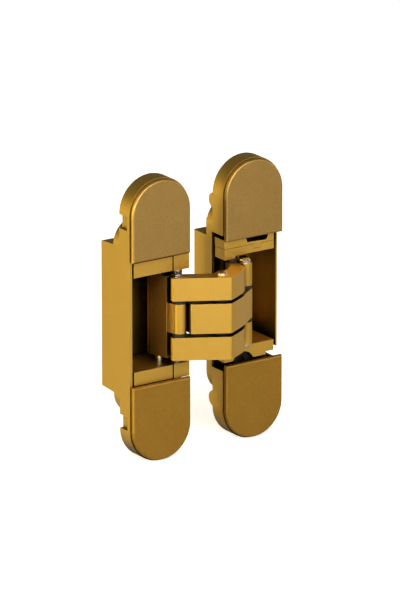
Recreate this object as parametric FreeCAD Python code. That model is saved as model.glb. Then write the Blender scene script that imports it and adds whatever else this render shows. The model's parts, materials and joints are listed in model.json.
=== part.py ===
import FreeCAD
import Part
import math
import os

# Concealed invisible door hinge, standing open at 180 degrees.
# W runs along both leaves from the free edge of the frame leaf, N points out of the mortise
# towards the viewer and Z is the height above the middle of the hinge. Millimetres and degrees.

# Leaves
LEAF_WIDTH = 23.0
LEAF_HEIGHT = 95.0
LEAF_GAP = 14.4
LEAF_STEP = -2.2
SEAT_DEPTH = 5.4
BODY_DEPTH = 16.4
LEAF_FRONT = 0.4
WALL = 1.0
FLOOR = 1.2
END_WALL = 1.6
END_ZONE = 12.7
BACK_DRAFT = 0.5
BACK_EDGE = 0.8
CORNER_WIDTH = 5.0
CORNER_DROP = 2.3
SHOULDER_DEPTH = 8.9
SHOULDER_MARGIN = 3.0
SHOULDER_RADIUS = 8.0
ARM_WALL_CUT = 5.8
FAR_WALL_CUT = 2.0
FAR_WALL = 0.5
SEE_THROUGH_DEPTH = 9.0
SLOT_MARGIN = 0.4
NOTCH_START = 4.75
NOTCH_END = 0.1
NOTCH_INSET = 1.2
NOTCH_FRONT = 1.0
BOSS_RADIUS = 2.65
BOSS_LENGTH = 7.0
BOSS_DEPTH = 4.9

# Mounting screws and clamp screws
MOUNT_HOLE = 4.6
MOUNT_SINK = 9.0
SINK_DEPTH = 0.8
MOUNT_REACH = 5.0
CLAMP_OFFSET = 2.1
CLAMP_THREAD = 3.0
CLAMP_HEAD = 5.4
CLAMP_HEAD_HEIGHT = 1.5
CLAMP_SOCKET = 2.0
CLAMP_LENGTH = 5.9
RECESS_REACH = 4.0
RECESS_DEPTH = 4.2
RECESS_SIDE = 4.0
TONGUE_THICKNESS = 2.1
TONGUE_SIDE_GAP = 2.45

# Covers
COVER_THICKNESS = 1.25
COVER_GAP = 0.3
COVER_INSET = 0.45
COVER_EDGE = 0.55
COVER_LIP = 0.5
COVER_LIP_START = 1.7
LEFT_OVERHANG = 2.36
RIGHT_OVERHANG = 2.3
PEG_RADIUS = 1.0
PEG_LENGTH = 1.5
PEG_CLEARANCE = 0.05
PEG_SIDE = 4.5
PEG_BELOW = 3.5
PEG_ABOVE = 7.8

# Adjusting travel
HEIGHT_TRAVEL = 1.5
DEPTH_TRAVEL = 1.0
DEPTH_INWARD = 0.5
LATERAL_TRAVEL = 0.8
SLIDE_GAP = 0.2

# Levels of the carriages below the end of the pocket
UPPER_BAR_LOW = 7.8
UPPER_BAR_HIGH = 3.0
LOWER_BAR_LOW = 7.1
LOWER_BAR_HIGH = 2.55
ARM_STACK = 9.5
DOOR_BAR_LOW = 8.6
DOOR_BAR_HIGH = 5.0
DOOR_BASE_LOW = 7.9
DOOR_BASE_HIGH = 3.3
FRAME_PIN_END = 5.3
DOOR_PIN_END = 5.8

# Frame carriage
BAR_FRONT = 0.35
BAR_SIDE_GAP = 0.7
CARRIAGE_BACK_GAP = 0.4
EAR_FRONT = 0.5
EAR_WIDTH = 6.05
EAR_EDGE = 0.15
GROOVE_WIDTH = 0.35
SPINE_THICKNESS = 1.1
SPINE_FOOT = 4.8

# Door carriage, its slide blocks and the depth screw
CARRIAGE_FRONT = -1.3
CARRIAGE_NEAR_GAP = 0.5
CARRIAGE_FAR_GAP = 2.3
KEY_START = 0.4
KEY_WIDTH = 2.8
KEY_DROP = 1.4
SCREW_OFFSET = 3.8
SCREW_DROP = 2.8
SCREW_RADIUS = 0.96
SCREW_HEAD = 3.0
SCREW_REACH = 8.9
SCREW_SOCKET = 1.25
ARCH_DROP = 1.2
ARCH_CLEARANCE = 0.1
LEDGE_FRONT = -4.0
LEDGE_THICKNESS = 1.1
BOSS_HALF = 3.0
BOSS_RISE = 1.65
BLOCK_BACK = -7.6
LOWER_BLOCK_BACK = -9.6
BLOCK_SEAM = 0.1
CAP_PLATE = 0.4
CAP_PLATE_WIDTH = 2.6
COVER_UNDERSIDE_GAP = 0.15

# Pivots in plan, from the hinge side of the frame leaf and of the door leaf
LEFT = LEAF_WIDTH
RIGHT = LEAF_WIDTH + LEAF_GAP
PIVOT_C = (LEFT + 8.1, 7.2)
PIVOT_P1 = (LEFT - 5.0, 2.2)
PIVOT_R1 = (LEFT - 2.6, -3.0)
PIVOT_F1 = (LEFT - 6.45, -7.36)
PIVOT_P2 = (RIGHT + 6.9, 0.9)
PIVOT_R2 = (RIGHT + 4.4, -3.0)
PIVOT_F2 = (RIGHT + 8.27, -7.72)
LEFT_LINK_LENGTH = 10.00
LEFT_LINK_ANGLE = 77.0
RIGHT_LINK_LENGTH = 9.03
RIGHT_LINK_ANGLE = 104.2

# Linkage
PIN_RADIUS = 1.8
SMALL_PIN_RADIUS = 1.25
RUNNING = 0.04
OPEN_PIVOT_PLAY = 1.0
INNER_SHARE = 0.3587
ARM_SPACE = 1.25
LEVEL_GAP = 0.05
HEAD_WALL = 0.55
CENTRE_WALL = 0.8
KNUCKLE_WALL = 0.5
TAIL_WALL = 0.81
SLEEVE_WALL = 0.5
WASHER_WALL = 0.5
HUB_WALL = 0.85
RELIEF_HALF = 5.4
CREST = (0.3, 5.2)
LONG_SLOPE = 29.2
SHORT_SLOPE = 29.6
LINK_END_GAP = 0.1
CENTRE_PIN_PROUD = 0.6
FRAME_PIN_PROUD = 0.15
DOOR_PIN_PROUD = 1.0
PIN_CHAMFER = 0.25

# Places that follow from the sizes above
BACK_N = -BODY_DEPTH
FLOOR_N = FLOOR - BODY_DEPTH
OPEN_N = LEAF_FRONT + 0.1
COVER_BACK = LEAF_FRONT + COVER_GAP
COVER_FRONT = COVER_BACK + COVER_THICKNESS
CENTRE = LEAF_WIDTH / 2
RIGHT_CENTRE = RIGHT + CENTRE
END_CENTRE = LEAF_HEIGHT / 2 - CENTRE
POCKET_HALF = END_CENTRE - END_ZONE
BOX_HALF = POCKET_HALF + END_WALL
CORNER_HALF = POCKET_HALF - CORNER_DROP
SIDE_SLOT_HALF = POCKET_HALF - SLOT_MARGIN
CLAMP_Z = POCKET_HALF + CLAMP_OFFSET
RECESS_HALF = CLAMP_Z + RECESS_REACH
OUTER_HIGH = POCKET_HALF - ARM_STACK
MIDDLE_HALF = INNER_SHARE * OUTER_HIGH
OUTER_LOW = MIDDLE_HALF + ARM_SPACE
LINK_HALF = OUTER_HIGH - LINK_END_GAP
FRAME_BACK = FLOOR_N + CARRIAGE_BACK_GAP
DOOR_BACK = LEAF_STEP + FLOOR_N + DEPTH_TRAVEL + DEPTH_INWARD
DOOR_NEAR = RIGHT + CARRIAGE_NEAR_GAP
DOOR_FAR = RIGHT + LEAF_WIDTH - WALL - CARRIAGE_FAR_GAP
DOOR_SPINE = RIGHT + WALL + 2.0
SCREW_W = RIGHT_CENTRE - SCREW_OFFSET
SCREW_Z = SCREW_DROP - POCKET_HALF
LEDGE_BACK = LEDGE_FRONT - LEDGE_THICKNESS
TONGUE_BACK = 0.05 - RECESS_DEPTH
TONGUE_FRONT = TONGUE_BACK + TONGUE_THICKNESS
SPAN = LEAF_HEIGHT


def at(w, n, z):
    return FreeCAD.Vector(w - CENTRE, -n - SEAT_DEPTH, z)


def prism(points, low, high):
    loop = [at(w, n, low) for w, n in points]
    face = Part.Face(Part.makePolygon(loop + [loop[0]]))
    return face.extrude(FreeCAD.Vector(0, 0, high - low))


def block(w0, w1, n0, n1, low, high):
    return prism([(w0, n0), (w1, n0), (w1, n1), (w0, n1)], low, high)


def post(centre, radius, low, high):
    return Part.makeCylinder(radius, high - low, at(centre[0], centre[1], low))


def bore(shape, centre, radius, half=SPAN):
    return shape.cut(post(centre, radius, -half, half))


def drill(w, z, radius, front, back):
    return Part.makeCylinder(radius, front - back, at(w, front, z), FreeCAD.Vector(0, 1, 0))


def joined(first, *others):
    return first.multiFuse(list(others)).removeSplitter()


def lower(shape):
    return shape.mirror(FreeCAD.Vector(0, 0, 0), FreeCAD.Vector(0, 0, 1))


def levels(shape):
    return [shape, lower(shape)]


def group(solids):
    return Part.makeCompound(solids)


def rounded(shape, radius, choose):
    return shape.makeFillet(radius, [edge for edge in shape.Edges if choose(edge)])


def flat_at(edge, n):
    # True for an edge that lies in the plane at depth n.
    box = edge.BoundBox
    return abs(box.YMin + SEAT_DEPTH + n) < 0.01 and abs(box.YMax + SEAT_DEPTH + n) < 0.01


def to_right(shape):
    turned = shape.mirror(at((RIGHT + LEAF_WIDTH) / 2, 0, 0), FreeCAD.Vector(1, 0, 0))
    turned.translate(FreeCAD.Vector(0, -LEAF_STEP, 0))
    return turned


def outline(corners):
    # Closed face from a ring of points, where a middle point makes its span an arc.
    sides = []
    for start, middle, end in corners:
        span = Part.Arc(start, middle, end) if middle else Part.LineSegment(start, end)
        sides.append(span.toShape())
    return Part.Face(Part.Wire(sides))


def end_plate(inset, edge, front, back):
    # One round end of the leaf, from the straight edge up to the tip.
    radius = CENTRE - inset
    low_left = at(inset, front, edge)
    low_right = at(LEAF_WIDTH - inset, front, edge)
    left = at(inset, front, END_CENTRE)
    right = at(LEAF_WIDTH - inset, front, END_CENTRE)
    tip = at(CENTRE, front, END_CENTRE + radius)
    face = outline([
        (low_left, None, left), (left, tip, right), (right, None, low_right), (low_right, None, low_left),
    ])
    return face.extrude(FreeCAD.Vector(0, front - back, 0))


def shoulder():
    radius = SHOULDER_RADIUS
    top = END_CENTRE - SHOULDER_MARGIN
    corner = radius * math.sqrt(0.5)
    back = -SHOULDER_DEPTH

    def arc(start, sign):
        inner = start + sign * radius
        middle = at(inner - sign * corner, back, top - radius + corner)
        return at(start, back, top - radius), middle, at(inner, back, top)

    left, left_mid, left_top = arc(0, 1)
    right, right_mid, right_top = arc(LEAF_WIDTH, -1)
    low_left = at(0, back, 0)
    low_right = at(LEAF_WIDTH, back, 0)
    face = outline([
        (low_left, None, left), (left, left_mid, left_top), (left_top, None, right_top),
        (right_top, right_mid, right), (right, None, low_right), (low_right, None, low_left),
    ])
    return face.extrude(FreeCAD.Vector(0, SEAT_DEPTH - 0.5 - SHOULDER_DEPTH, 0))


def corner_blocks(wall, n_front, half):
    # The space beyond the lowered corners on the hinge side, or that space less a wall.
    start = LEAF_WIDTH - CORNER_WIDTH - wall
    return levels(block(start, LEAF_WIDTH + 1, BACK_N - 1, n_front, half, SPAN))


def deep_box():
    front = 0.5 - SEAT_DEPTH
    back_half = BOX_HALF - BACK_DRAFT
    points = [
        at(0, BACK_N, -back_half), at(0, BACK_N, back_half),
        at(0, -SHOULDER_DEPTH, BOX_HALF), at(0, front, BOX_HALF),
        at(0, front, -BOX_HALF), at(0, -SHOULDER_DEPTH, -BOX_HALF),
    ]
    face = Part.Face(Part.makePolygon(points + [points[0]]))
    return face.extrude(FreeCAD.Vector(LEAF_WIDTH, 0, 0))


def pocket():
    room = block(WALL, LEAF_WIDTH - WALL, FLOOR_N, OPEN_N, -POCKET_HALF, POCKET_HALF)
    return room.cut(corner_blocks(WALL, WALL - SHOULDER_DEPTH, CORNER_HALF - FLOOR))


def peg_places():
    low = END_CENTRE - PEG_BELOW
    return [(PEG_SIDE, low), (LEAF_WIDTH - PEG_SIDE, low), (CENTRE, END_CENTRE + PEG_ABOVE)]


def end_cuts():
    # Everything cut into the upper end of a leaf; the lower end is its mirror image.
    sink = MOUNT_SINK / 2
    hole = MOUNT_HOLE / 2
    start = at(CENTRE, -SINK_DEPTH, END_CENTRE)
    flare = Part.makeCone(sink, hole, sink - hole, start, FreeCAD.Vector(0, 1, 0))
    notch_back = -SEAT_DEPTH - SHOULDER_DEPTH / 2
    notch_low = END_CENTRE - NOTCH_START
    cuts = [
        block(RECESS_SIDE, LEAF_WIDTH - RECESS_SIDE, -RECESS_DEPTH, OPEN_N, POCKET_HALF - 0.1, RECESS_HALF),
        drill(CENTRE, CLAMP_Z, CLAMP_THREAD / 2, OPEN_N, TONGUE_FRONT - CLAMP_LENGTH - 0.3),
        drill(CENTRE, END_CENTRE, hole, OPEN_N, -SEAT_DEPTH - MOUNT_REACH),
        drill(CENTRE, END_CENTRE, sink, OPEN_N, -SINK_DEPTH),
        flare,
        block(-0.1, NOTCH_INSET, notch_back, -NOTCH_FRONT, notch_low, END_CENTRE - NOTCH_END),
    ]
    for w, z in peg_places():
        cuts.append(drill(w, z, PEG_RADIUS + PEG_CLEARANCE, OPEN_N, LEAF_FRONT - PEG_LENGTH - 0.3))
    return cuts


def housing(far_wall_cut):
    body = joined(block(0, LEAF_WIDTH, -SEAT_DEPTH, LEAF_FRONT, -END_CENTRE, END_CENTRE), deep_box())
    body = body.cut(corner_blocks(0, -SHOULDER_DEPTH, CORNER_HALF))
    body = rounded(body, BACK_EDGE, lambda edge: flat_at(edge, BACK_N) and edge.Length > CORNER_WIDTH)
    boss_z = END_CENTRE - (NOTCH_START + NOTCH_END) / 2
    start = at(LEAF_WIDTH - BOSS_LENGTH, -BOSS_DEPTH, boss_z)
    boss = Part.makeCylinder(BOSS_RADIUS, BOSS_LENGTH, start, FreeCAD.Vector(1, 0, 0))
    ends = levels(end_plate(0, 0, LEAF_FRONT, -SEAT_DEPTH)) + levels(shoulder()) + levels(boss)
    body = joined(body, *ends)

    hinge_side = LEAF_WIDTH - WALL - 0.1
    slot = SIDE_SLOT_HALF
    cuts = [pocket(), block(hinge_side, LEAF_WIDTH + 0.1, -ARM_WALL_CUT, OPEN_N, -slot, slot)]
    if far_wall_cut > 0:
        cuts.append(block(-0.1, WALL + 0.1, -far_wall_cut, OPEN_N, -slot, slot))
        cuts.append(block(FAR_WALL, WALL + 0.1, FLOOR_N, OPEN_N, -slot, slot))
        gap_top = DOOR_BASE_HIGH + 1.1 - POCKET_HALF
        cuts.append(block(-0.1, WALL + 0.1, -SEE_THROUGH_DEPTH, OPEN_N, -slot, gap_top))
    for cut in end_cuts():
        cuts.extend(levels(cut))
    return body.cut(cuts)


def cover(overhang):
    edge = POCKET_HALF - overhang
    plate = end_plate(COVER_INSET, edge, COVER_FRONT, COVER_BACK)
    plate = rounded(plate, COVER_EDGE, lambda item: flat_at(item, COVER_FRONT))
    lip = end_plate(COVER_INSET + COVER_LIP, edge + COVER_LIP_START, COVER_BACK + 0.1, LEAF_FRONT)
    pegs = [drill(w, z, PEG_RADIUS, OPEN_N, LEAF_FRONT - PEG_LENGTH) for w, z in peg_places()]
    return joined(plate, lip, *pegs)


def near(pivot, *offsets):
    return [(pivot[0] + w, pivot[1] + n) for w, n in offsets]


def long_face(w):
    crest_w, crest_n = near(PIVOT_C, CREST)[0]
    return (w, crest_n + math.tan(math.radians(LONG_SLOPE)) * (w - crest_w))


def short_face(w):
    crest_w, crest_n = near(PIVOT_C, CREST)[0]
    return (w, crest_n - math.tan(math.radians(SHORT_SLOPE)) * (w - crest_w))


def crest():
    return [long_face(PIVOT_C[0] - 0.1), short_face(PIVOT_C[0] + 0.8), short_face(PIVOT_C[0] + 7.1)]


def outer_plan():
    return (
        [long_face(PIVOT_P1[0] - 3.0)] + crest()
        + near(PIVOT_R2, (-1.2, 9.3), (-0.4, 7.2), (-0.3, 3.6), (0.8, 1.8), (1.4, 0.0), (0.0, -1.6))
        + near(PIVOT_R2, (-2.0, -0.6), (-3.8, 4.6))
        + near(PIVOT_C, (3.8, -2.6), (0.0, -2.6), (-2.1, -1.6))
        + near(PIVOT_P1, (0.9, -2.35), (-1.8, -2.2), (-2.8, -1.1), (-3.3, 0.2))
    )


def inner_plan():
    return (
        near(PIVOT_P1, (2.1, 2.7), (2.0, 3.6)) + [long_face(PIVOT_P1[0] + 2.6)] + crest()
        + near(PIVOT_P2, (1.6, 1.6), (2.0, -0.7), (-1.9, -1.5))
        + near(PIVOT_C, (3.1, -2.3), (0.0, -2.6), (-2.5, -2.0))
        + near(PIVOT_R1, (4.8, 6.6), (4.1, 5.0), (1.9, -0.4), (0.0, -1.4), (-1.8, -0.6), (0.3, 3.4))
    )


def arm_plate(points, low, high, head, tail):
    ends = [(head, PIN_RADIUS + HEAD_WALL), (PIVOT_C, PIN_RADIUS + CENTRE_WALL)]
    ends.append((tail, SMALL_PIN_RADIUS + RUNNING + TAIL_WALL))
    posts = [post(centre, radius, low, high) for centre, radius in ends]
    return joined(prism(points, low, high), *posts)


def outer_arm():
    plates = levels(arm_plate(outer_plan(), OUTER_LOW, OUTER_HIGH, PIVOT_P1, PIVOT_R2))
    hub_radius = SMALL_PIN_RADIUS + RUNNING + TAIL_WALL - 0.15
    hub = post(PIVOT_R2, hub_radius, -OUTER_LOW - 0.1, OUTER_LOW + 0.1)
    arm = joined(plates[0], plates[1], hub)
    for centre in (PIVOT_P1, PIVOT_C):
        arm = bore(arm, centre, PIN_RADIUS)
    return bore(arm, PIVOT_R2, SMALL_PIN_RADIUS + RUNNING)


def inner_arm():
    arm = arm_plate(inner_plan(), -MIDDLE_HALF, MIDDLE_HALF, PIVOT_P2, PIVOT_R1)
    for centre in (PIVOT_P2, PIVOT_C):
        arm = bore(arm, centre, PIN_RADIUS + RUNNING)
    return bore(arm, PIVOT_R1, SMALL_PIN_RADIUS + RUNNING)


def link_point(head, angle, length, along, left):
    # A point given along the link from its tail to its head and to the left of it.
    cosine = math.cos(math.radians(angle))
    sine = math.sin(math.radians(angle))
    tail = (head[0] - length * cosine, head[1] - length * sine)
    return (tail[0] + along * cosine - left * sine, tail[1] + along * sine + left * cosine)


def link(head, angle, length, side, head_levels, tail_levels):
    def plan(*points):
        return [link_point(head, angle, length, along, side * left) for along, left in points]

    web = plan((2.0, 0.5), (length - 3.2, 0.5), (length - 3.2, 2.7), (2.0, 2.7))
    neck = plan((length - 4.0, -0.9), (length - 0.4, -2.0), (length, 2.2), (length - 4.0, 2.7))
    tail = plan((0.0, -2.4), (3.0, -0.9), (length - 3.4, -0.7), (length - 3.4, 2.7), (0.5, 3.0))
    hole = link_point(head, angle, length, 0.0, 0.0)
    parts = [prism(web, -LINK_HALF, LINK_HALF)]
    for low, high in head_levels:
        parts.append(post(head, PIN_RADIUS + KNUCKLE_WALL, low, high))
        parts.append(prism(neck, low, high))
    for low, high in tail_levels:
        parts.append(post(hole, SMALL_PIN_RADIUS + OPEN_PIVOT_PLAY + HUB_WALL, low, high))
        parts.append(prism(tail, low, high))
    return joined(*parts), hole


def outer_levels(inner):
    return [(inner, LINK_HALF), (-LINK_HALF, -inner)]


def left_link():
    tails = [(-LINK_HALF, LINK_HALF)]
    heads = [(-MIDDLE_HALF, MIDDLE_HALF)]
    shape, hole = link(PIVOT_P1, LEFT_LINK_ANGLE, LEFT_LINK_LENGTH, 1, heads, tails)
    corners = [(-4.5, 0.0), (-4.5, -4.5), (5.0, -4.5), (5.0, 0.0)]
    room = [link_point(PIVOT_P1, LEFT_LINK_ANGLE, LEFT_LINK_LENGTH, *corner) for corner in corners]
    shape = shape.cut(prism(room, -RELIEF_HALF, RELIEF_HALF))
    shape = bore(shape, PIVOT_P1, PIN_RADIUS + RUNNING)
    return bore(shape, hole, SMALL_PIN_RADIUS + OPEN_PIVOT_PLAY)


def right_link():
    tail_half = MIDDLE_HALF + LEVEL_GAP
    heads = outer_levels(OUTER_LOW)
    shape, hole = link(PIVOT_P2, RIGHT_LINK_ANGLE, RIGHT_LINK_LENGTH, -1, heads, [(-tail_half, tail_half)])
    shape = bore(shape, PIVOT_P2, PIN_RADIUS)
    return bore(shape, hole, SMALL_PIN_RADIUS + OPEN_PIVOT_PLAY)


def clamp_slot(w, near_z, far_z, half_width, front):
    return block(w - half_width, w + half_width, front - TONGUE_THICKNESS - 1, front + 1, near_z, far_z)


def frame_bar(low, high):
    # One bar of the frame carriage with its ear and the tongue under the clamp screw.
    far = LEAF_WIDTH - WALL - SLIDE_GAP
    ear_start = LEAF_WIDTH - EAR_WIDTH
    bar = block(WALL + BAR_SIDE_GAP, far, FRAME_BACK, BAR_FRONT, low, high)
    ear = block(ear_start, LEAF_WIDTH, 0.1 - ARM_WALL_CUT, EAR_FRONT, low - EAR_EDGE, high + EAR_EDGE)
    groove = block(ear_start - GROOVE_WIDTH, ear_start + 0.02, BAR_FRONT - 0.8, SPAN, low - 1, high + 1)
    side = RECESS_SIDE + TONGUE_SIDE_GAP
    reach = RECESS_HALF - HEIGHT_TRAVEL - 0.6
    tongue = block(side, LEAF_WIDTH - side, TONGUE_BACK, TONGUE_FRONT, high - 0.1, reach)
    half = CLAMP_THREAD / 2 + 0.1
    slot = clamp_slot(CENTRE, CLAMP_Z - half - HEIGHT_TRAVEL - 0.1, SPAN, half, TONGUE_FRONT)
    return joined(bar.cut(groove), ear).fuse(tongue.cut(slot))


def left_carriage():
    upper = frame_bar(POCKET_HALF - UPPER_BAR_LOW, POCKET_HALF - UPPER_BAR_HIGH)
    base = lower(frame_bar(POCKET_HALF - LOWER_BAR_LOW, POCKET_HALF - LOWER_BAR_HIGH))
    side = LEAF_WIDTH - WALL - SLIDE_GAP
    inner = side - SPINE_THICKNESS
    top = -ARM_WALL_CUT - 0.1
    spine = [
        (inner, top), (side, top), (side, FRAME_BACK), (side - SPINE_FOOT, FRAME_BACK),
        (side - SPINE_FOOT, FRAME_BACK + 1.3), (inner, FRAME_BACK + 2.3),
    ]
    column = prism(spine, LOWER_BAR_LOW - 0.2 - POCKET_HALF, POCKET_HALF - UPPER_BAR_LOW + 0.2)
    frame = joined(upper, base, column)
    clear = HEIGHT_TRAVEL + SLIDE_GAP
    side = WALL + SLIDE_GAP
    frame = frame.cut(corner_blocks(side, side - SHOULDER_DEPTH, CORNER_HALF - FLOOR - clear))
    for centre in (PIVOT_R1, PIVOT_F1):
        frame = bore(frame, centre, SMALL_PIN_RADIUS, POCKET_HALF - FRAME_PIN_END + 0.1)
    return frame


def right_carriage():
    bar_low = POCKET_HALF - DOOR_BAR_LOW
    bar_high = POCKET_HALF - DOOR_BAR_HIGH
    base_low = DOOR_BASE_HIGH - POCKET_HALF
    base_high = DOOR_BASE_LOW - POCKET_HALF
    key = RIGHT_CENTRE + KEY_START
    key_end = key + KEY_WIDTH
    upper = block(DOOR_NEAR, DOOR_FAR, DOOR_BACK, CARRIAGE_FRONT, bar_low, bar_high)
    upper = upper.cut([
        block(RIGHT + 4.6, DOOR_FAR + 1, DOOR_BACK - 1, SPAN, bar_low - 1, bar_low + 0.9),
        block(key - LEVEL_GAP, key_end + LEVEL_GAP, DOOR_BACK - 1, SPAN, bar_high - KEY_DROP - 0.1, SPAN),
    ])
    boss = BOSS_HALF + 0.15
    boss_top = SCREW_Z + BOSS_RISE
    base = block(DOOR_NEAR, DOOR_FAR, DOOR_BACK, CARRIAGE_FRONT, base_low, base_high)
    base = base.cut([
        drill(SCREW_W, SCREW_Z - ARCH_DROP, SCREW_HEAD + ARCH_DROP + ARCH_CLEARANCE, SPAN, LEDGE_FRONT),
        block(SCREW_W - 1.2, SCREW_W + 1.2, LEDGE_BACK - 4, LEDGE_FRONT, base_low - 1, SCREW_Z + 1.3),
        block(SCREW_W - boss, SCREW_W + boss, BLOCK_BACK - 4, LEDGE_BACK, base_low - 1, boss_top + 0.15),
        block(RIGHT_CENTRE + 5.1, DOOR_FAR + 1, DOOR_BACK - 5, SPAN, base_low - 1, base_low + 1.0),
    ])
    inner = DOOR_SPINE + SPINE_THICKNESS
    foot = DOOR_SPINE + SPINE_FOOT - 0.2
    top = -ARM_WALL_CUT - 0.1
    spine = [
        (DOOR_SPINE, top), (inner, top), (inner, DOOR_BACK + 2.6), (foot, DOOR_BACK + 1.4),
        (foot, DOOR_BACK), (DOOR_SPINE, DOOR_BACK),
    ]
    frame = joined(upper, base, prism(spine, base_high - 0.2, bar_low + 0.2))
    wall_top = LEAF_STEP - ARM_WALL_CUT + DEPTH_TRAVEL + SLIDE_GAP
    frame = frame.cut(block(RIGHT - 1, side_clear(), DOOR_BACK - 5, wall_top, -SPAN, SPAN))
    corner_front = LEAF_STEP + WALL - SHOULDER_DEPTH + DEPTH_TRAVEL + SLIDE_GAP
    corner_side = RIGHT + CORNER_WIDTH + WALL + LATERAL_TRAVEL + SLIDE_GAP
    corner_low = CORNER_HALF - FLOOR - SLIDE_GAP
    corner = block(RIGHT - 1, corner_side, DOOR_BACK - 5, corner_front, corner_low, SPAN)
    frame = frame.cut(levels(corner))
    for centre in (PIVOT_R2, PIVOT_F2):
        frame = bore(frame, centre, SMALL_PIN_RADIUS, POCKET_HALF - DOOR_PIN_END + 0.1)
    return frame


def side_clear():
    # Where a sliding piece may start beside the door leaf's hinge-side wall.
    return RIGHT + WALL + LATERAL_TRAVEL + SLIDE_GAP + 0.5


def door_tongue(low, high):
    side = RECESS_SIDE + TONGUE_SIDE_GAP
    front = LEAF_STEP + TONGUE_FRONT
    back = LEAF_STEP + TONGUE_BACK
    tongue = block(RIGHT + side, RIGHT + LEAF_WIDTH - side, back, front, low, high)
    half = CLAMP_THREAD / 2 + 0.1
    half_width = half + LATERAL_TRAVEL + 0.4
    return tongue, clamp_slot(RIGHT_CENTRE, CLAMP_Z - half, CLAMP_Z + half, half_width, front)


def right_upper_block():
    seam = POCKET_HALF - DOOR_BAR_HIGH + BLOCK_SEAM
    top = POCKET_HALF - 2.4
    key = RIGHT_CENTRE + KEY_START
    body = block(DOOR_NEAR, DOOR_FAR, BLOCK_BACK, CARRIAGE_FRONT, seam, top)
    key_piece = block(key, key + KEY_WIDTH, BLOCK_BACK, CARRIAGE_FRONT, seam - KEY_DROP - 0.1, seam + 0.1)
    plate_front = LEAF_STEP + COVER_BACK - COVER_UNDERSIDE_GAP
    plate_end = DOOR_NEAR + CAP_PLATE_WIDTH
    plate = block(DOOR_NEAR, plate_end, BLOCK_BACK, plate_front, top - 0.1, top + CAP_PLATE)
    body = joined(body, key_piece, plate)
    wall_top = LEAF_STEP - ARM_WALL_CUT + 1.0
    body = body.cut(block(RIGHT - 1, side_clear(), DOOR_BACK, wall_top, seam - 1, SPAN))
    opening = [
        at(RIGHT_CENTRE - 2.2, 0, seam + 1.0), at(RIGHT_CENTRE + 5.5, 0, seam + 0.6),
        at(RIGHT_CENTRE + 6.5, 0, top + 1.2), at(RIGHT_CENTRE - 3.2, 0, top + 1.6),
    ]
    cut = Part.Face(Part.makePolygon(opening + [opening[0]])).extrude(FreeCAD.Vector(0, 5.5, 0))
    tongue, slot = door_tongue(top - 0.1, RECESS_HALF - 0.8)
    return joined(body.cut(cut), tongue).cut(slot)


def right_lower_block():
    front = LEDGE_BACK - DEPTH_TRAVEL - 0.1
    low = 0.3 - POCKET_HALF
    high = DOOR_BASE_HIGH - BLOCK_SEAM - POCKET_HALF
    body = block(DOOR_SPINE, DOOR_FAR, LOWER_BLOCK_BACK, front, low, high)
    left = SCREW_W - BOSS_HALF
    right = SCREW_W + BOSS_HALF
    boss = block(left, right, LOWER_BLOCK_BACK, front, low, SCREW_Z + BOSS_RISE)
    tongue, slot = door_tongue(0.8 - RECESS_HALF, low - 0.8)
    side = RECESS_SIDE + TONGUE_SIDE_GAP
    back = LEAF_STEP + TONGUE_BACK
    neck = block(RIGHT + side, RIGHT + LEAF_WIDTH - side, back, back + 1.05, low - 0.9, low + 1.2)
    thread = drill(SCREW_W, SCREW_Z, SCREW_RADIUS + RUNNING, 0.0, LOWER_BLOCK_BACK - 1)
    return joined(body, boss, neck, tongue).cut([lower(slot), thread])


def pin(centre, radius, low, high):
    shaft = post(centre, radius, low, high)
    return shaft.makeChamfer(PIN_CHAMFER, [edge for edge in shaft.Edges if edge.BoundBox.ZLength < 0.01])


def ring(centre, inner, outer, low, high):
    return post(centre, outer, low, high).cut(post(centre, inner, low - 1, high + 1))


def washers(centre, wall):
    low = MIDDLE_HALF + LEVEL_GAP
    return group(levels(ring(centre, PIN_RADIUS, PIN_RADIUS + wall, low, OUTER_LOW - LEVEL_GAP)))


def clamp_screw(w, z, seat, tip):
    shaft = drill(w, z, CLAMP_THREAD / 2, seat, tip)
    head = drill(w, z, CLAMP_HEAD / 2, seat + CLAMP_HEAD_HEIGHT, seat)
    socket = drill(w, z, CLAMP_SOCKET / 2, seat + CLAMP_HEAD_HEIGHT + 0.1, seat + 0.5)
    return head.fuse(shaft).cut(socket)


def clamp_screws(w, step):
    seat = step + TONGUE_FRONT + 0.02
    return group([clamp_screw(w, z, seat, seat - CLAMP_LENGTH) for z in (CLAMP_Z, -CLAMP_Z)])


def depth_screw():
    front = LEAF_STEP + LEAF_FRONT - DEPTH_INWARD - 0.15
    head = drill(SCREW_W, SCREW_Z, SCREW_HEAD, front, LEDGE_FRONT)
    shaft = drill(SCREW_W, SCREW_Z, SCREW_RADIUS, LEDGE_FRONT + 0.1, -SCREW_REACH)
    socket = drill(SCREW_W, SCREW_Z, SCREW_SOCKET, front + 0.1, front - 0.8)
    return joined(head, shaft).cut(socket)


def small_rings(centre, wall, upper_end, lower_end, start):
    outer = SMALL_PIN_RADIUS + wall
    return group([
        ring(centre, SMALL_PIN_RADIUS, outer, start, upper_end),
        ring(centre, SMALL_PIN_RADIUS, outer, -lower_end, -start),
    ])


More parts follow.
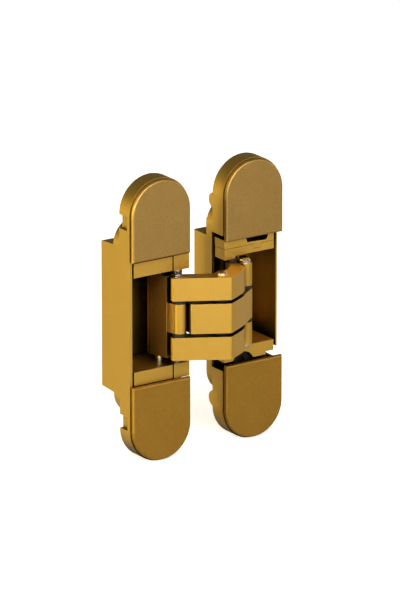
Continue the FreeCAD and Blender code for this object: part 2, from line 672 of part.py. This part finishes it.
def collect():
    frame_pin = POCKET_HALF - FRAME_PIN_END
    door_pin = POCKET_HALF - DOOR_PIN_END
    centre_end = OUTER_HIGH + CENTRE_PIN_PROUD
    frame_end = OUTER_HIGH + FRAME_PIN_PROUD
    door_end = OUTER_HIGH + DOOR_PIN_PROUD
    return {
        "left_housing": housing(0.0),
        "left_upper_cover": cover(LEFT_OVERHANG),
        "left_lower_cover": lower(cover(LEFT_OVERHANG)),
        "left_carriage": left_carriage(),
        "right_housing": to_right(housing(FAR_WALL_CUT)),
        "right_upper_cover": to_right(cover(RIGHT_OVERHANG)),
        "right_lower_cover": to_right(lower(cover(RIGHT_OVERHANG))),
        "right_carriage": right_carriage(),
        "right_upper_block": right_upper_block(),
        "right_lower_block": right_lower_block(),
        "outer_arm": outer_arm(),
        "inner_arm": inner_arm(),
        "left_link": left_link(),
        "right_link": right_link(),
        "centre_pin": pin(PIVOT_C, PIN_RADIUS, -centre_end, centre_end),
        "left_float_pin": pin(PIVOT_P1, PIN_RADIUS, -frame_end, frame_end),
        "right_float_pin": pin(PIVOT_P2, PIN_RADIUS, -door_end, door_end),
        "left_arm_pin": pin(PIVOT_R1, SMALL_PIN_RADIUS, -frame_pin, frame_pin),
        "left_link_pin": pin(PIVOT_F1, SMALL_PIN_RADIUS, -frame_pin, frame_pin),
        "right_arm_pin": pin(PIVOT_R2, SMALL_PIN_RADIUS, -door_pin, door_pin),
        "right_link_pin": pin(PIVOT_F2, SMALL_PIN_RADIUS, -door_pin, door_pin),
        "centre_washers": washers(PIVOT_C, WASHER_WALL + 0.2),
        "left_float_washers": washers(PIVOT_P1, WASHER_WALL),
        "right_float_washers": washers(PIVOT_P2, WASHER_WALL),
        "left_arm_sleeves": small_rings(
            PIVOT_R1, SLEEVE_WALL, POCKET_HALF - UPPER_BAR_LOW - SLIDE_GAP,
            POCKET_HALF - LOWER_BAR_LOW - SLIDE_GAP, MIDDLE_HALF + LEVEL_GAP,
        ),
        "right_arm_washers": small_rings(
            PIVOT_R2, SLEEVE_WALL + 0.25, POCKET_HALF - DOOR_BAR_LOW - LEVEL_GAP,
            POCKET_HALF - DOOR_BASE_LOW - LEVEL_GAP, OUTER_HIGH + LEVEL_GAP,
        ),
        "left_clamp_screws": clamp_screws(CENTRE, 0.0),
        "right_clamp_screws": clamp_screws(RIGHT_CENTRE, LEAF_STEP),
        "depth_screw": depth_screw(),
    }


def main():
    os.makedirs("parts", exist_ok=True)
    for name, shape in collect().items():
        shape.exportStep("parts/" + name + ".step")


main()
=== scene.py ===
import json
import math

import bpy
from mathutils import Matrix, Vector


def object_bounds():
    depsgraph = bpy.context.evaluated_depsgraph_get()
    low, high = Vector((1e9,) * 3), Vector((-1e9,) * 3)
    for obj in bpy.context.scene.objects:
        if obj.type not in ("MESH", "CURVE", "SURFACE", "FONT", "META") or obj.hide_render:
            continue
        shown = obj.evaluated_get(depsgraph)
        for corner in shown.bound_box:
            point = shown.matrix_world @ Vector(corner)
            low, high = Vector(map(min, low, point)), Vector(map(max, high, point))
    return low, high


# Looks of the concealed invisible door hinge, in metres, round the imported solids.

MM = 0.001

# Camera
VIEW_AZIMUTH = -34.1
VIEW_ELEVATION = 17.8
VIEW_DISTANCE = 2.1
VIEW_SCALE = 3104.0
VIEW_RIGHT = 0.01620
VIEW_UP = 0.00482
VIEW_DEPTH = 0.00877
SENSOR = 36.0
IMAGE_HEIGHT = 600
CLIP_START = 0.05
CLIP_END = 50

# World, brighter on the side of the front
SKY_TOWARDS = (-0.20, -0.98, 0.0)
SKY_FROM = -0.6
SKY_TO = 0.9
SKY_DARK = 0.10
SKY_BRIGHT = 0.30
WHITE = (1.0, 1.0, 1.0, 1.0)

# Floor, darker for every ray that doesn't come from the camera
FLOOR_SIZE = 6.0
FLOOR_DROP = 0.0002
FLOOR_LIT = 0.38
FLOOR_SEEN = 0.85
GLOW_NEAR = 0.55
GLOW_FAR = 1.0
GLOW_START = 0.5
GLOW_END = 1.6

# Lamps: name, azimuth, elevation, distance, width, height, power in watts, tint
LAMPS_ROUND = (0.0187, 0.0, 0.0)
NEUTRAL = (1.0, 1.0, 1.0)
WARM = (1.0, 0.97, 0.90)
YELLOW = (1.0, 0.91, 0.40)
LAMPS = (
    ("key", -34, 32, 0.9, 0.9, 0.9, 14.0, WARM),
    ("front", 8, 14, 1.1, 0.9, 0.5, 5.6, NEUTRAL),
    ("side", 84, 12, 1.1, 0.6, 0.4, 3.6, NEUTRAL),
    ("left", -100, 6, 1.0, 0.35, 0.25, 15.0, YELLOW),
)

# Lacquer, with lightened edges (painted highlight, partly thinner lacquer) and painted brown shade in
# hollows
BODY_FLAKES = 5200.0
COVER_FLAKES = 2400.0
BROAD_GRAIN = 160.0
FLAKE_SHARE = 0.75
BROAD_SHARE = 0.25
EDGE_RADIUS = 0.25 * MM
EDGE_SHARE = 0.55
EDGE_TURNED = 0.80
EDGE_FLAT = 0.985
EDGE_SAMPLES = 4
HOLLOW_DEEP = 0.25
HOLLOW_OPEN = 0.93
HOLLOW_SAMPLES = 8
BODY_HOLLOW = 0.013
FITTING_HOLLOW = 0.007
BUMP_HEIGHT = 0.03 * MM
LACQUER_SWING = 0.05
SWING_START = 0.3
SWING_END = 0.7

# Steel and nylon
STEEL_GRAIN = 2600.0
STEEL_SHADE = 0.85
STEEL_SWING = 0.06
NYLON_GRAIN = 1800.0
NYLON_LIGHT = 1.5
NYLON_BUMP = 0.2
NYLON_ROUGHNESS = 0.6
NYLON_SPECULAR = 0.25

# Softened edges
CAST_EDGE = 0.25 * MM
FITTED_EDGE = 0.15 * MM
EDGE_SEGMENTS = 2
WELD_DISTANCE = 2e-6
FLAT_ANGLE = 1.0
SHARP_ANGLE = 35
NORMAL_WEIGHT = 60

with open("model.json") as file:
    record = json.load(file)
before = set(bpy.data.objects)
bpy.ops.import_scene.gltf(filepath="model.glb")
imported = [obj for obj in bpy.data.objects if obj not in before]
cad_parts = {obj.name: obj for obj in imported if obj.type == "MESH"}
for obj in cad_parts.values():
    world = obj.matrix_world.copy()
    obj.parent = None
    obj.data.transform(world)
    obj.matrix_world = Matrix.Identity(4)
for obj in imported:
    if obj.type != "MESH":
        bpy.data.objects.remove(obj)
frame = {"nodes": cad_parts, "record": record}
cad_low, cad_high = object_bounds()
nodes = frame["nodes"]


def vector(azimuth, elevation):
    """Direction from the object towards a place round it."""
    a = math.radians(azimuth)
    e = math.radians(elevation)
    return Vector((math.sin(a) * math.cos(e), -math.cos(a) * math.cos(e), math.sin(e)))


def make_camera():
    back = vector(VIEW_AZIMUTH, VIEW_ELEVATION)
    ahead = -back
    right = ahead.cross(Vector((0, 0, 1))).normalized()
    up = right.cross(ahead)
    target = right * VIEW_RIGHT + up * VIEW_UP + ahead * VIEW_DEPTH
    data = bpy.data.cameras.new("camera")
    data.sensor_width = SENSOR
    data.lens = VIEW_SCALE * VIEW_DISTANCE * SENSOR / IMAGE_HEIGHT
    data.clip_start = CLIP_START
    data.clip_end = CLIP_END
    camera = bpy.data.objects.new("camera", data)
    camera.location = target + back * VIEW_DISTANCE
    camera.rotation_mode = "QUATERNION"
    camera.rotation_quaternion = ahead.to_track_quat("-Z", "Y")
    bpy.context.scene.collection.objects.link(camera)
    bpy.context.scene.camera = camera


class Shader:
    """A small helper that makes the nodes of one material."""

    def __init__(self, name):
        self.material = bpy.data.materials.new(name)
        self.material.use_nodes = True
        self.tree = self.material.node_tree
        self.tree.nodes.clear()

    def node(self, kind, inputs=None, **settings):
        made = self.tree.nodes.new(kind)
        for key, value in settings.items():
            setattr(made, key, value)
        for key, value in (inputs or {}).items():
            self.feed(made, key, value)
        return made

    def feed(self, made, key, value):
        if isinstance(value, bpy.types.NodeSocket):
            self.tree.links.new(value, made.inputs[key])
        else:
            made.inputs[key].default_value = value

    def noise(self, scale, detail=2.0, roughness=0.6):
        place = self.node("ShaderNodeTexCoord").outputs["Object"]
        settings = {"Vector": place, "Scale": scale, "Detail": detail, "Roughness": roughness}
        return self.node("ShaderNodeTexNoise", settings).outputs["Fac"]

    def spread(self, value, low, high, start=0.0, end=1.0):
        settings = {"Value": value, "From Min": start, "From Max": end, "To Min": low, "To Max": high}
        return self.node("ShaderNodeMapRange", settings).outputs["Result"]

    def mixed(self, factor, first, second):
        made = self.node("ShaderNodeMix", data_type="RGBA", clamp_factor=True)
        for index, value in ((0, factor), (6, first), (7, second)):
            self.feed(made, index, value)
        return made.outputs[2]

    def math(self, operation, first, second):
        made = self.node("ShaderNodeMath", {0: first, 1: second}, operation=operation)
        return made.outputs[0]

    def edges(self, radius):
        """Near 1 along sharp edges and 0 on faces."""
        bevel = self.node("ShaderNodeBevel", {"Radius": radius}, samples=EDGE_SAMPLES).outputs["Normal"]
        plain = self.node("ShaderNodeNewGeometry").outputs["Normal"]
        turned = self.node("ShaderNodeVectorMath", {0: bevel, 1: plain}, operation="DOT_PRODUCT")
        return self.spread(turned.outputs["Value"], 1.0, 0.0, EDGE_TURNED, EDGE_FLAT)

    def hollow(self, distance):
        """Near 1 in the open and 0 deep inside a pocket."""
        made = self.node("ShaderNodeAmbientOcclusion", {"Distance": distance}, samples=HOLLOW_SAMPLES)
        return made.outputs["AO"]

    def bump(self, height, strength):
        settings = {"Height": height, "Strength": strength, "Distance": BUMP_HEIGHT}
        return self.node("ShaderNodeBump", settings).outputs["Normal"]

    def finish(self, **inputs):
        settings = {key.replace("_", " "): value for key, value in inputs.items()}
        shader = self.node("ShaderNodeBsdfPrincipled", settings)
        out = self.node("ShaderNodeOutputMaterial")
        self.tree.links.new(shader.outputs["BSDF"], out.inputs["Surface"])
        return self.material


def colour(red, green, blue):
    """A written sRGB colour, 0 to 255, as linear values."""
    values = []
    for value in (red, green, blue):
        part = value / 255
        values.append(part / 12.92 if part <= 0.04045 else ((part + 0.055) / 1.055) ** 2.4)
    return (*values, 1.0)


def shaded(base, factor):
    return tuple(factor * part for part in base[:3]) + (1.0,)


def lacquer(name, dark, light, edge, roughness, speckle, grain, flakes=BODY_FLAKES, depth=0.0):
    """Metallic gold lacquer, with a painted highlight along sharp edges. With a depth, it has painted
    brown shade inside pockets of that size.
    """
    made = Shader(name)
    fine = made.noise(flakes)
    broad = made.noise(BROAD_GRAIN, 3.0, 0.5)
    flake = made.spread(fine, 0.0, 1.0, 0.5 - speckle, 0.5 + speckle)
    tone = made.math(
        "ADD", made.math("MULTIPLY", flake, FLAKE_SHARE), made.math("MULTIPLY", broad, BROAD_SHARE)
    )
    base = made.mixed(tone, dark, light)
    # Painted highlight along sharp edges, partly thinner lacquer there
    base = made.mixed(made.math("MULTIPLY", made.edges(EDGE_RADIUS), EDGE_SHARE), base, edge)
    # Painted shade: deep inside pockets the colour turns dark brown
    if depth:
        inside = made.spread(made.hollow(depth), 1.0, 0.0, HOLLOW_DEEP, HOLLOW_OPEN)
        base = made.mixed(inside, base, PAINTED_HOLLOW_SHADE)
    rough = made.spread(fine, roughness - LACQUER_SWING, roughness + LACQUER_SWING, SWING_START, SWING_END)
    normal = made.bump(fine, grain)
    return made.finish(Base_Color=base, Metallic=1.0, Roughness=rough, Normal=normal)


def turned_metal(name, base, roughness):
    made = Shader(name)
    fine = made.noise(STEEL_GRAIN)
    shade = made.mixed(fine, shaded(base, STEEL_SHADE), base)
    rough = made.spread(fine, roughness - STEEL_SWING, roughness + STEEL_SWING, SWING_START, SWING_END)
    return made.finish(Base_Color=shade, Metallic=1.0, Roughness=rough)


def moulded(name, base):
    made = Shader(name)
    fine = made.noise(NYLON_GRAIN)
    shade = made.mixed(fine, base, shaded(base, NYLON_LIGHT))
    normal = made.bump(fine, NYLON_BUMP)
    return made.finish(
        Base_Color=shade, Roughness=NYLON_ROUGHNESS, Specular_IOR_Level=NYLON_SPECULAR, Normal=normal
    )


# Painted shade: the dark brown that pockets are darkened to
PAINTED_HOLLOW_SHADE = colour(28, 22, 6)

# Dark, light and edge colours (the edge colour is a painted highlight, partly thinner lacquer), then
# roughness, speckle and grain
GOLD = (colour(206, 158, 62), colour(230, 184, 88), colour(244, 206, 120), 0.36, 0.25, 0.12)
BRONZE = (colour(141, 108, 53), colour(175, 142, 82), colour(214, 176, 100), 0.50, 0.34, 0.30)
# A shaded copy of the cover bronze for the lower covers: painted shade for how the light falls on them
SHADED_BRONZE = (colour(139, 102, 35), colour(175, 132, 55), colour(214, 170, 84), 0.50, 0.34, 0.30)

BODY = lacquer("gold_lacquer", *GOLD, depth=BODY_HOLLOW)
FITTING = lacquer("fitting_lacquer", *GOLD, depth=FITTING_HOLLOW)
COVER_TOP = lacquer("cover_lacquer", *BRONZE, COVER_FLAKES)
COVER_LOW = lacquer("lower_cover_lacquer", *SHADED_BRONZE, COVER_FLAKES)
STEEL = turned_metal("turned_steel", colour(210, 200, 186), 0.26)
DARK_STEEL = turned_metal("black_oxide", colour(42, 35, 30), 0.36)
NYLON = moulded("black_nylon", colour(24, 17, 12))

FINISHES = {
    "body_paint": BODY,
    "steel": STEEL,
    "dark_steel": DARK_STEEL,
    "nylon": NYLON,
}


def paint(name, material):
    data = nodes[name].data
    data.materials.clear()
    data.materials.append(material)


def soften(name, width):
    """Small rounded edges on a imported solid, as on a cast or pressed piece."""
    piece = nodes[name]
    weld = piece.modifiers.new("weld", "WELD")
    weld.merge_threshold = WELD_DISTANCE
    flat = piece.modifiers.new("flat", "DECIMATE")
    flat.decimate_type = "DISSOLVE"
    flat.angle_limit = math.radians(FLAT_ANGLE)
    bevel = piece.modifiers.new("bevel", "BEVEL")
    bevel.width = width
    bevel.segments = EDGE_SEGMENTS
    bevel.limit_method = "ANGLE"
    bevel.angle_limit = math.radians(SHARP_ANGLE)
    bevel.use_clamp_overlap = True
    normals = piece.modifiers.new("normals", "WEIGHTED_NORMAL")
    normals.keep_sharp = False
    normals.weight = NORMAL_WEIGHT


for row in frame["record"]["subparts"]:
    name = row["node"]
    if "cover" in name:
        # Lower covers take the shaded bronze, which is painted shade
        paint(name, COVER_TOP if "upper" in name else COVER_LOW)
    elif "carriage" in name or "block" in name:
        paint(name, FITTING)
    else:
        paint(name, FINISHES[row["material_slot"]])

for name in ("left_housing", "right_housing", "outer_arm", "inner_arm", "left_link", "right_link"):
    soften(name, CAST_EDGE)
for name in ("left_carriage", "right_carriage", "right_upper_block", "right_lower_block"):
    soften(name, FITTED_EDGE)


def area(name, azimuth, elevation, distance, width, height, power, tint):
    data = bpy.data.lights.new(name, "AREA")
    data.shape = "RECTANGLE"
    data.size = width
    data.size_y = height
    data.energy = power
    data.color = tint
    light = bpy.data.objects.new(name, data)
    back = vector(azimuth, elevation)
    light.location = Vector(LAMPS_ROUND) + back * distance
    light.rotation_mode = "QUATERNION"
    light.rotation_quaternion = (-back).to_track_quat("-Z", "Y")
    bpy.context.scene.collection.objects.link(light)


def make_stage():
    """A floor that keeps the shadow and glows white for the camera away from the object."""
    floor_z = cad_low.z - FLOOR_DROP
    mesh = bpy.data.meshes.new("floor")
    around = ((-1, -1), (1, -1), (1, 1), (-1, 1))
    corners = [(x * FLOOR_SIZE, y * FLOOR_SIZE, floor_z) for x, y in around]
    mesh.from_pydata(corners, [], [(0, 1, 2, 3)])
    floor = bpy.data.objects.new("floor", mesh)
    bpy.context.scene.collection.objects.link(floor)
    made = Shader("floor_white")
    seen = made.node("ShaderNodeLightPath").outputs["Is Camera Ray"]
    shade = made.spread(seen, FLOOR_LIT, FLOOR_SEEN)
    diffuse = made.node("ShaderNodeBsdfDiffuse", {"Color": shade}).outputs[0]
    place = made.node("ShaderNodeTexCoord").outputs["Object"]
    far = made.node("ShaderNodeVectorMath", {0: place}, operation="LENGTH").outputs["Value"]
    white = made.spread(far, GLOW_NEAR, GLOW_FAR, GLOW_START, GLOW_END)
    glow = made.node("ShaderNodeEmission", {"Strength": made.math("MULTIPLY", seen, white)}).outputs[0]
    both = made.node("ShaderNodeAddShader", {0: diffuse, 1: glow}).outputs[0]
    out = made.node("ShaderNodeOutputMaterial")
    made.tree.links.new(both, out.inputs["Surface"])
    mesh.materials.append(made.material)


def make_world():
    """A dim surround for the object, and white for the camera."""
    world = bpy.data.worlds.new("studio")
    bpy.context.scene.world = world
    world.use_nodes = True
    tree = world.node_tree
    sky = tree.nodes["Background"]
    sky.inputs["Color"].default_value = WHITE
    place = tree.nodes.new("ShaderNodeTexCoord")
    towards = tree.nodes.new("ShaderNodeVectorMath")
    towards.operation = "DOT_PRODUCT"
    towards.inputs[1].default_value = SKY_TOWARDS
    tree.links.new(place.outputs["Generated"], towards.inputs[0])
    scale = tree.nodes.new("ShaderNodeMapRange")
    scale.interpolation_type = "SMOOTHSTEP"
    scale.inputs["From Min"].default_value = SKY_FROM
    scale.inputs["From Max"].default_value = SKY_TO
    scale.inputs["To Min"].default_value = SKY_DARK
    scale.inputs["To Max"].default_value = SKY_BRIGHT
    tree.links.new(towards.outputs["Value"], scale.inputs["Value"])
    seen = tree.nodes.new("ShaderNodeLightPath")
    strength = tree.nodes.new("ShaderNodeMath")
    strength.operation = "MAXIMUM"
    tree.links.new(scale.outputs["Result"], strength.inputs[0])
    tree.links.new(seen.outputs["Is Camera Ray"], strength.inputs[1])
    tree.links.new(strength.outputs["Value"], sky.inputs["Strength"])


make_camera()
make_world()
make_stage()
for lamp in LAMPS:
    area(*lamp)

bpy.context.scene.view_settings.view_transform = "Standard"
